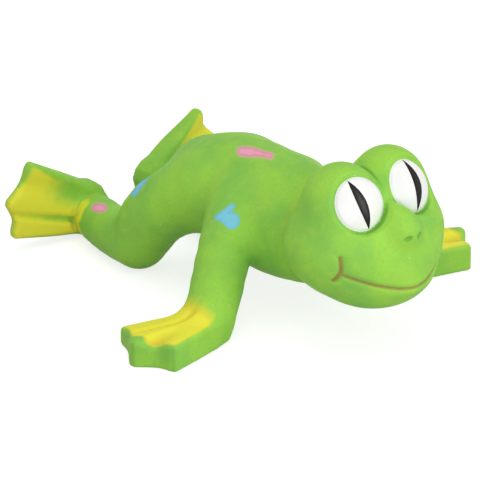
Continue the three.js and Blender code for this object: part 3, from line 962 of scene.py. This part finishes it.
def fibre_material():
    """White polyester fibre: fine crossing strands."""
    made, tree, shader, place = new_material("fibre", FIBRE_SHINE, FIBRE_ROUGHNESS)
    strands = [noise(tree, times(tree, place, stretch), 1.0, FIBRE_DETAIL) for stretch in FIBRE_STRETCHES]
    tangle = maths(tree, "MAXIMUM", *strands)
    tree.links.new(mix(tree, tangle, colour("fibre_grey"), colour("fibre_white")), shader["Base Color"])
    bump(tree, shader, tangle, *FIBRE_BUMP)
    return made


def make_materials():
    return {
        "green": latex_material("green_latex", GREEN_LAYERS),
        "yellow": latex_material("yellow_latex", YELLOW_LAYERS),
        "eye": plain_material("eye_white", "eye_white", roughness=0.3, scale=0.06),
        "pupil": pupil_material(),
        "fibre": fibre_material(),
        "squeaker": plain_material("squeaker_plastic", "squeaker_white", roughness=0.42, scale=0.2),
        "reed": plain_material("reed_plastic", "reed_blue", roughness=0.3, scale=0.2),
    }


# Paint, and painted shade, on the skin

# Spots are sprayed straight at the frog from where it is photographed: rows of dots across and up from its
# middle, with their radius, and a place on the skin that the spot keeps near
SPOTS = {
    "pink_paint": [
        ((-7, -5, 65), [(-5.8, 20.2, 2.1), (-2.4, 20, 1.8), (1.3, 19.5, 1.2), (6, 18.3, 1.45)]),
        ((-29, 70, 21), [(-68.6, -3, 1.5), (-66.6, -3.1, 1.7), (-64.6, -3.2, 1.5)]),
    ],
    "blue_paint": [
        ((-29, -19, 47), [(-15.8, -7.6, 1.3), (-9.8, -2.9, 1.2)]),
        ((-29, -19, 47), [(-13.6, -7.4, 2), (-10.2, -8.7, 3.6)]),
        ((-27, 41, 39), [(-51.4, 2.4, 1.05), (-45.9, 10, 1.05)]),
    ],
}
SPOT_REACH = 18
SPOT_FADE = 4
NECK_LINE_WIDTH = 2.6
NECK_LINE_FADE = 9
MOUTH_LINE_WIDTH = 0.55
MOUTH_LINE_FADE = 2
HOLLOW_REACH = 2.5
HOLLOW_START = 0.16  # how hollow the skin is where the painted shade starts
HOLLOW_GAIN = 1.7

# Yellow paint: where it fades in, from a value to another
HANDS_END = 30  # y behind which there are hind feet
HAND_YELLOW = {
    "off_middle_tip": (3, 6.5),
    "below_top": (5, 2),
    "inside_edge": (0.2, 2.6),
    "past_wrist": (2, 13),
    "down_leg": (25, 13),
}
# painted shade: ochre in the hands' creases
HAND_OCHRE_CREASE_SHADE = 0.35
HAND_OCHRE_EDGE = 3
FOOT_OCHRE = 0.12
FOOT_YELLOW = {
    "toe_tips": (24, 34),
    "top_border": (4, 12),
    "facing_front": (0.2, 0.8),
    "before_middle": (1.6, 0),
    "inside_edge": (-0.6, 2.6),
    "past_heel": (6, 9),
    "towards_heel": (33, 11),
    "towards_top": (-3, 7),
    "along_crease": (50, 16),
    "off_foot": (0.5, 1.5),
    "near_foot": (8, 5.5),
    "band_height": (7.5, 3.5),
    "band_reach": (0, 4),
}
FOOT_BORDER = 1.6
FOOT_TIPS_WIDER = 1.2
FOOT_HEEL_BARE = 0.9
# painted shade: how much the yellow gives way to darker green along the crease
FOOT_CREASE_SHADE = 0.4
FOOT_STRENGTH = 0.92


def coverage(distance, width):
    """Coverage of a patch from 0 to 1, across a width around its edge."""
    return np.clip(EDGE - distance / width, 0, 1)


def spots(points, out, kind):
    """Distance on the skin from the edge of the spots of a kind."""
    right, up, back = (np.array(way, np.float32) for way in view_axes(CAMERA_AZIMUTH, CAMERA_ELEVATION))
    middle = points - np.array((0, 0, AIM_HEIGHT), np.float32)
    flat = np.stack([middle @ right, middle @ up, np.zeros(len(points))], axis=1)
    nearest = np.full(len(points), np.inf)
    for place, dots in SPOTS[kind]:
        row = np.array([(x, y, 0, r) for x, y, r in dots], np.float32)
        reached = (np.linalg.norm(points - np.array(place), axis=1) < SPOT_REACH) & (out @ back > 0)
        nearest = np.minimum(nearest, np.where(reached, tube(flat, row), np.inf))
    return nearest


def hollowness(points, out):
    """How far the skin around a place rises over it, which sets how strong the painted shade in hollows is."""
    reached = skin((points + HOLLOW_REACH * out).astype(np.float32)) / HOLLOW_REACH
    return np.clip(HOLLOW_GAIN * (1 - reached - HOLLOW_START), 0, 1)


def skin_paint(points, out):
    """Each kind of paint on the green skin, and the painted shade in its hollows."""
    q = mirrored(points)
    neck = np.abs(head(points) - join(tube(points, TORSO_BALLS), front_limb(q), SHOULDER_JOIN))
    return {
        "hollow_paint": hollowness(points, out),
        "neck_paint": coverage(neck - NECK_LINE_WIDTH, NECK_LINE_FADE),
        "blue_paint": coverage(spots(points, out, "blue_paint"), SPOT_FADE),
        "pink_paint": coverage(spots(points, out, "pink_paint"), SPOT_FADE),
        "mouth_paint": coverage(mouth_distance(in_head(points)) - MOUTH_LINE_WIDTH, MOUTH_LINE_FADE),
    }


def foot_paint(points, out):
    """Yellow on the tops of the hands and the fronts of the hind feet, ochre at the yellow's soft edge and, as
    painted shade, in the hands' creases, with painted shade in hollows.
    """
    q = mirrored(points)
    n = out * rightward(points)
    is_hand = q[:, 1] < HANDS_END
    yellow = np.where(is_hand, hand_yellow(q), foot_yellow(q, n))
    x, y, _ = in_hand(q)
    # ochre at the yellow's soft edge, and painted shade in the hands' creases
    edge_ochre_and_crease_shade = HAND_OCHRE_CREASE_SHADE * crease_depth(x, y, HAND_CREASES) + HAND_OCHRE_EDGE * yellow * (1 - yellow)
    return {
        "yellow_paint": yellow,
        "ochre_paint": np.clip(np.where(is_hand, edge_ochre_and_crease_shade, FOOT_OCHRE), 0, 1) * yellow,
        "pink_paint": coverage(spots(points, out, "pink_paint"), SPOT_FADE),
        "hollow_paint": hollowness(points, out),
    }


def hand_yellow(q):
    """The top of the hand, fading out over the wrist and short of the middle toe's tip."""
    x, y, z = in_hand(q)
    tip_x, tip_y = polar(*HAND_TOES[1])
    places = {
        "off_middle_tip": np.hypot(x - tip_x, y - tip_y),
        "below_top": hand_top(y) - z,
        "inside_edge": HAND_CORNER - outline_distance(x, y, HAND_OUTLINE),
        "past_wrist": x,
        "down_leg": z,
    }
    return faded(HAND_YELLOW, places)


def faded(limits, places):
    """What is left of paint that fades out by each of some places."""
    found = 1
    for name, value in places.items():
        found = found * ramp(value, *limits[name])
    return found


def foot_yellow(q, n):
    """The front of the hind foot, fading out at its edges and towards the heel, with painted shade along its
    crease, and a band at the ankle.
    """
    x, y, z = in_foot(q)
    tips = ramp(x, *FOOT_YELLOW["toe_tips"])
    border = FOOT_BORDER * ramp(y, *FOOT_YELLOW["top_border"])
    facing = ramp(-n @ FOOT_AXES[2], *FOOT_YELLOW["facing_front"])
    front = np.maximum(facing, tips * ramp(z, *FOOT_YELLOW["before_middle"]))
    inside = FOOT_CORNER - outline_distance(x, y, FOOT_OUTLINE) + FOOT_TIPS_WIDER * tips - border
    face = front * faded(FOOT_YELLOW, {"inside_edge": inside, "past_heel": x})
    face = face * (1 - FOOT_HEEL_BARE * faded(FOOT_YELLOW, {"towards_heel": x, "towards_top": y}))
    # painted shade: less yellow, so darker green, along the foot's first crease
    crease = crease_depth(x, y, FOOT_CREASES[:1]) * ramp(x, *FOOT_YELLOW["along_crease"])
    face = face * (1 - FOOT_CREASE_SHADE * crease)
    off = foot_form(q)
    band = faded(FOOT_YELLOW, {"off_foot": off, "near_foot": off, "band_height": y, "band_reach": x})
    return FOOT_STRENGTH * np.maximum(face, band)


# Pieces

def skin_owner(middle):
    """The piece that each quad of skin belongs to."""
    q = mirrored(middle)
    left = middle[:, 0] > 0
    reach = front_limb(q)
    is_front = (q[:, 0] < SHOULDER_CUT) & (reach < np.minimum(hind_limb(q), head(middle)))
    owner = np.full(len(middle), "torso", object)
    owner[middle[:, 1] < NECK_CUT] = "head"
    for name, side in SIDES.items():
        here = left == (side > 0)
        owner[here & (q[:, 1] > HIP_CUT)] = f"{name}_thigh"
        owner[here & (q[:, 1] > KNEE_CUT)] = f"{name}_shank"
        owner[here & (q[:, 1] > ANKLE_CUT)] = f"{name}_hind_foot"
        owner[here & is_front] = f"{name}_front_leg"
        owner[here & is_front & (q[:, 0] < WRIST_CUT)] = f"{name}_hand"
    return owner


def bends():
    """For each body, its carrier and the line along which the skin starts and stops bending."""
    found = {"head": ("torso", (0, 1, 0), NECK_BEND)}
    for name, side in SIDES.items():
        out = (-side, 0, 0)
        found[f"{name}_front_leg"] = ("torso", out, SHOULDER_BEND)
        found[f"{name}_hand"] = (f"{name}_front_leg", out, WRIST_BEND)
        found[f"{name}_thigh"] = ("torso", (0, 1, 0), HIP_BEND)
        found[f"{name}_shank"] = (f"{name}_thigh", (0, 1, 0), KNEE_BEND)
        found[f"{name}_hind_foot"] = (f"{name}_shank", (0, 1, 0), ANKLE_BEND)
    return found


def carry(piece, body):
    """Sets a piece in place: the torso's pieces ride on it, and any other piece only has its place baked into
    its mesh.
    """
    if body == "torso":
        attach(piece, body)
        return
    carrier, way, stops = bends()[body]
    start, end = (Vector(way) * stop * MM for stop in stops)
    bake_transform(piece)
    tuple(start)
    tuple(end)


def two_sided(quads, count):
    """The faces of a sheet, of a second one whose points follow its own, and of the rim between them."""
    rim = [(b, a, a + count, b + count) for a, b in open_edges(quads)]
    return [*quads, *(quads[:, ::-1] + count), *rim]


def closed_skin(points, quads, out):
    """A skin of even thickness from its outer side: points, faces and directions."""
    both = np.vstack([points, points - SKIN * out])
    return both, two_sided(quads, len(points)), np.vstack([out, -out])


def capped(points, quads, out):
    """Solid latex, closed where it grows out of the limb."""
    edges = open_edges(quads)
    middle = points[edges[:, 0]].mean(axis=0)
    way = middle - points.mean(axis=0)
    cap = [(b, a, len(points)) for a, b in edges]
    return np.vstack([points, middle]), [*quads, *cap], np.vstack([out, way / np.linalg.norm(way)])


def make_skin(materials):
    low, high = (np.array(corner) / MM for corner in cad_box)
    width = math.ceil(max(-low[0], high[0]) / (GRID * COARSE) + ROOM_STEPS) * GRID * COARSE
    low = (-width, low[1] - NOSE_ROOM, -ROOM_STEPS * GRID)
    high = (width, high[1] + ROOM, high[2] + ROOM)
    points, quads, out = surface(skin, low, high, GRID)
    owner = skin_owner(points[quads].mean(axis=1).astype(np.float32))
    for body in ["torso", *bends()]:
        used, index = np.unique(quads[owner == body], return_inverse=True)
        is_foot = body.endswith(("hand", "foot"))
        close = capped if is_foot else closed_skin
        places, faces, directions = close(points[used], index.reshape(-1, 4), out[used])
        paint = (foot_paint if is_foot else skin_paint)(places.astype(np.float32), directions)
        material = materials["yellow" if is_foot else "green"]
        made = new_mesh(f"{body}_latex", places, faces, material, directions, paint)
        carry(made, body)
        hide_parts(body if is_foot else f"{body}_skin")


def placed(name, local):
    """Points of an eye's own frame, in the frog's frame."""
    side = SIDES[name]
    middle = np.array(SKULL[0])
    centre = np.array(EYE_CENTRE) * (-side, 1, 1)
    return (np.array(local) @ eye_axes(side) + centre - middle) @ head_axes() + middle


def stacked_rings(rings, middle_first, middle_last):
    """A closed mesh from rings of equal counts, with a point closing each end."""
    count = len(rings[0])
    points = [middle_first, *[point for ring in rings for point in ring], middle_last]
    faces = []
    for k in range(count):
        after = (k + 1) % count
        faces.append((0, 1 + k, 1 + after))
        for ring in range(len(rings) - 1):
            a, b = 1 + ring * count, 1 + (ring + 1) * count
            faces.append((a + k, b + k, b + after, a + after))
        last = 1 + (len(rings) - 1) * count
        faces.append((len(points) - 1, last + after, last + k))
    return np.array(points, float), faces


EYE_ROUND = 0.5
EYE_ROUND_STEPS = 3
EYE_RINGS = (0.1, 0.2, 0.3, 0.4, 0.5, 0.6, 0.7, 0.8, 0.88, 0.95)
EYE_SEGMENTS = 72


def make_eye_white(name, material):
    rings = []
    turns = np.arange(EYE_SEGMENTS) * 2 * math.pi / EYE_SEGMENTS
    for share in EYE_RINGS:
        x, y = EYE_HALF[0] * share * np.cos(turns), EYE_HALF[1] * share * np.sin(turns)
        rings.append(np.stack([x, y, eye_height(x, y)], axis=1))
    for step in range(EYE_ROUND_STEPS + 1):
        c, s = turned(90 * step / EYE_ROUND_STEPS)
        x = (EYE_HALF[0] - EYE_ROUND * (1 - s)) * np.cos(turns)
        y = (EYE_HALF[1] - EYE_ROUND * (1 - s)) * np.sin(turns)
        rings.append(np.stack([x, y, np.full_like(x, EYE_ROUND * (c - 1))], axis=1))
    rings.append(rings[-1] + (0, 0, -EYE_THICKNESS + EYE_ROUND))
    points, faces = stacked_rings(rings, (0, 0, EYE_DOME), (0, 0, -EYE_THICKNESS))
    made = new_mesh(f"{name}_eye_disc", placed(name, points), faces, material)
    finish_eye(made, f"{name}_eye_white")


def make_pupil(name, material):
    """A slender slit from edge to edge of the white, lying on its dome."""
    lean_c, lean_s = turned(PUPIL_LEAN[name])
    top, low, grey = [], [], []
    length = PUPIL_REACH * math.sqrt(min(EYE_HALF) ** 2 - PUPIL_ASIDE[name] ** 2)
    for v in np.linspace(-1, 1, PUPIL_ROWS):
        width = PUPIL_HALF * (1 - v * v) + PUPIL_END
        for u in np.linspace(-1, 1, PUPIL_COLUMNS):
            x, y = width * u + PUPIL_ASIDE[name] + PUPIL_BOW[name] * (1 - v * v), length * v
            x, y = x * lean_c - y * lean_s, x * lean_s + y * lean_c
            height = eye_height(x, y)
            top.append((x, y, height + PUPIL_LIFT))
            low.append((x, y, height + PUPIL_LIFT - PUPIL_THICKNESS))
            # painted highlight: grey towards the middle of the slit
            grey.append(PUPIL_HIGHLIGHT[name] * (1 - v * v) ** 3 * (1 - u * u) ** 2)
    grid = np.arange(len(top)).reshape(PUPIL_ROWS, PUPIL_COLUMNS)
    quads = np.stack([grid[:-1, :-1], grid[:-1, 1:], grid[1:, 1:], grid[1:, :-1]], axis=-1).reshape(-1, 4)
    faces = two_sided(quads, len(top))
    fields = {"pupil_grey": np.array(grey * 2)}
    made = new_mesh(f"{name}_pupil_slit", placed(name, top + low), faces, material, fields=fields)
    made.data.set_sharp_from_angle(angle=math.radians(PUPIL_SHARP))
    finish_eye(made, f"{name}_pupil")


def finish_eye(made, node):
    """Sets a piece of an eye on the head in place of its node."""
    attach(made, "head")
    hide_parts(node)


FILL_INSET = 2.4
FILL_GRID = 2.4
FILL_GAP = 1.2
LUMP_WAVES = 0.45, 0.31  # how close the lumps lie, along each axis and across it
LUMP_HEIGHT = 0.35


def lumps(p):
    """Soft unevenness of packed fibre."""
    along, across = LUMP_WAVES
    waves = np.sin(p * along + np.roll(p, 1, axis=1) * across)
    return LUMP_HEIGHT * waves.sum(axis=1)


def fillings():
    """Each body's filling: its form, inside the skin and clear of its neighbours."""
    def torso(p):
        return np.maximum(tube(p, TORSO_BALLS) + FILL_INSET, FILL_GAP - squeaker_pocket(p))

    def head_core(p):
        q = in_head(p)
        core = join(bulge(q, SKULL), bulge(q, JAW), FILL_JOIN) + FILL_INSET
        core = np.maximum(core, in_eye(q)[2] + EYE_THICKNESS + SKIN)
        return np.maximum(core, FILL_GAP - tube(p, TORSO_BALLS))

    def limb(side, balls, carrier, past_end=None):
        def form(p):
            q = p * np.array((-side, 1, 1), np.float32)
            found = np.maximum(tube(q, balls) + FILL_INSET, FILL_GAP - carrier(q))
            return np.maximum(found, past_end(q) + FILL_GAP) if past_end else found
        return form

    def trunk(q):
        return tube(q, TORSO_BALLS)

    def upper(q):
        return np.minimum(trunk(q), tube(q, THIGH_BALLS))

    def past_wrist(q):
        return WRIST_CUT - q[:, 0]

    def past_ankle(q):
        return q[:, 1] - ANKLE_CUT

    found = {"torso": torso, "head": head_core}
    for name, side in SIDES.items():
        found[f"{name}_front_leg"] = limb(side, FRONT_LEG_BALLS, trunk, past_wrist)
        found[f"{name}_thigh"] = limb(side, THIGH_BALLS, trunk)
        found[f"{name}_shank"] = limb(side, SHANK_BALLS, upper, past_ankle)
    return found


def make_fillings(material):
    for body, form in fillings().items():
        low, high = (np.array(corner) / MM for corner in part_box(f"{body}_filling"))
        def lumpy(p, form=form):
            return form(p) + lumps(p)
        points, quads, _ = surface(lumpy, low - ROOM, high + ROOM, FILL_GRID, rounds=1)
        made = new_mesh(f"{body}_fibre", points, quads, material)
        carry(made, body)
        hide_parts(f"{body}_filling")


CUP_SEGMENTS = 64
CUP_ROUND = 0.4
CUP_SHARP = 50  # degrees at which an edge looks sharp


def make_squeaker(materials):
    """A smooth turned cup, with the reed and its holder as packed."""
    bore = CUP_R - CUP_WALL
    profile = [
        (AIR_HOLE_R, CUP_ROUND), (AIR_HOLE_R + CUP_ROUND, 0), (CUP_R - CUP_ROUND, 0), (CUP_R, CUP_ROUND),
        (CUP_R, CUP_HEIGHT - CUP_ROUND), (CUP_R - CUP_ROUND, CUP_HEIGHT), (bore, CUP_HEIGHT),
        (bore, CUP_FLOOR), (AIR_HOLE_R, CUP_FLOOR),
    ]
    points, faces = [], []
    count = len(profile)
    for k in range(CUP_SEGMENTS):
        c, s = turned(360 * k / CUP_SEGMENTS)
        points += [(CUP_PLACE[0] + r * c, CUP_PLACE[1] + r * s, CUP_BASE + h) for r, h in profile]
        here, there = k * count, (k + 1) % CUP_SEGMENTS * count
        for i in range(count):
            after = (i + 1) % count
            faces.append((here + i, there + i, there + after, here + after))
    made = new_mesh("squeaker_cup_turned", np.array(points), faces, materials["squeaker"])
    made.data.set_sharp_from_angle(angle=math.radians(CUP_SHARP))
    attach(made, "torso")
    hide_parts("squeaker_cup")
    for node, finish in (("reed_block", "squeaker"), ("reed_clip", "squeaker"), ("reed", "reed")):
        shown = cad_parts[node].data.materials
        shown.clear()
        shown.append(materials[finish])


# Floor, light and camera

WORLD_LIGHT = 0.57
FLOOR_SIZE = 6000
FLOOR_GLOW = 0.74
FLOOR_SHADE = 0.5  # how pale the floor is where it is looked at
FLOOR_PAPER = 0.5  # how pale it is for light on its way


def aimed(made, aim, back, distance):
    """A camera or lamp that looks at a place from a distance."""
    made.location = (aim + back * distance) * MM
    made.rotation_euler = back.to_track_quat("Z", "Y").to_euler()
    return made


def make_camera():
    right, up, back = view_axes(CAMERA_AZIMUTH, CAMERA_ELEVATION)
    aim = Vector((0, 0, AIM_HEIGHT)) + AIM_RIGHT * right + AIM_UP * up
    data = bpy.data.cameras.new("camera")
    data.sensor_width = SENSOR
    data.lens = SENSOR * CAMERA_DISTANCE / FRAME_WIDTH
    bpy.context.scene.camera = aimed(new_object("camera", data), aim, back, CAMERA_DISTANCE)


def seen_directly(tree):
    """1 for what the camera, a shine or a clear thing sees, and 0 for light on its way."""
    path = add(tree, "ShaderNodeLightPath").outputs
    shine = maths(tree, "MAXIMUM", path["Is Glossy Ray"], path["Is Transmission Ray"])
    return maths(tree, "MAXIMUM", path["Is Camera Ray"], shine)


def make_world():
    world = bpy.data.worlds.new("studio")
    bpy.context.scene.world = world
    world.use_nodes = True
    tree = world.node_tree
    tree.nodes.clear()
    light = add(tree, "ShaderNodeBackground", {"Color": WHITE, "Strength": WORLD_LIGHT}).outputs[0]
    white = add(tree, "ShaderNodeBackground", {"Color": WHITE, "Strength": 1}).outputs[0]
    shown = add(tree, "ShaderNodeMixShader", {0: seen_directly(tree), 1: light, 2: white}).outputs[0]
    add(tree, "ShaderNodeOutputWorld", {"Surface": shown})


def make_floor():
    made = bpy.data.materials.new("pale_floor")
    made.use_nodes = True
    tree = made.node_tree
    tree.nodes.clear()
    paper = add(tree, "ShaderNodeBsdfDiffuse", {"Color": (*[FLOOR_PAPER] * 3, 1)}).outputs[0]
    shadow = add(tree, "ShaderNodeBsdfDiffuse", {"Color": (*[FLOOR_SHADE] * 3, 1)}).outputs[0]
    glow = add(tree, "ShaderNodeEmission", {"Color": WHITE, "Strength": FLOOR_GLOW}).outputs[0]
    both = add(tree, "ShaderNodeAddShader", {0: shadow, 1: glow}).outputs[0]
    shown = add(tree, "ShaderNodeMixShader", {0: seen_directly(tree), 1: paper, 2: both}).outputs[0]
    add(tree, "ShaderNodeOutputMaterial", {"Surface": shown})
    half = FLOOR_SIZE / 2
    corners = np.array([(-half, -half, 0), (half, -half, 0), (half, half, 0), (-half, half, 0)], float)
    new_mesh("floor", corners, [(0, 1, 2, 3)], made)


# Lamps: azimuth, elevation, distance, width, and the light they give
LAMPS = {
    "top_lamp": (0, 88, 1000, 800, 1.9),
    "front_lamp": (-30, 14, 420, 300, 0.43),
    "low_lamp": (25, 8, 1000, 600, 2.2),
}


def make_lamps():
    for name, (azimuth, elevation, distance, width, power) in LAMPS.items():
        _, _, back = view_axes(azimuth, elevation)
        data = bpy.data.lights.new(name, "AREA")
        data.size = width * MM
        data.energy = power
        made = aimed(new_object(name, data), Vector((0, 0, AIM_HEIGHT)), back, distance)
        made.visible_camera = False


bpy.context.scene.view_settings.view_transform = "Standard"
make_camera()
make_world()
make_floor()
make_lamps()
finishes = make_materials()
make_skin(finishes)
for side_name in SIDES:
    make_eye_white(side_name, finishes["eye"])
    make_pupil(side_name, finishes["pupil"])
make_fillings(finishes["fibre"])
make_squeaker(finishes)
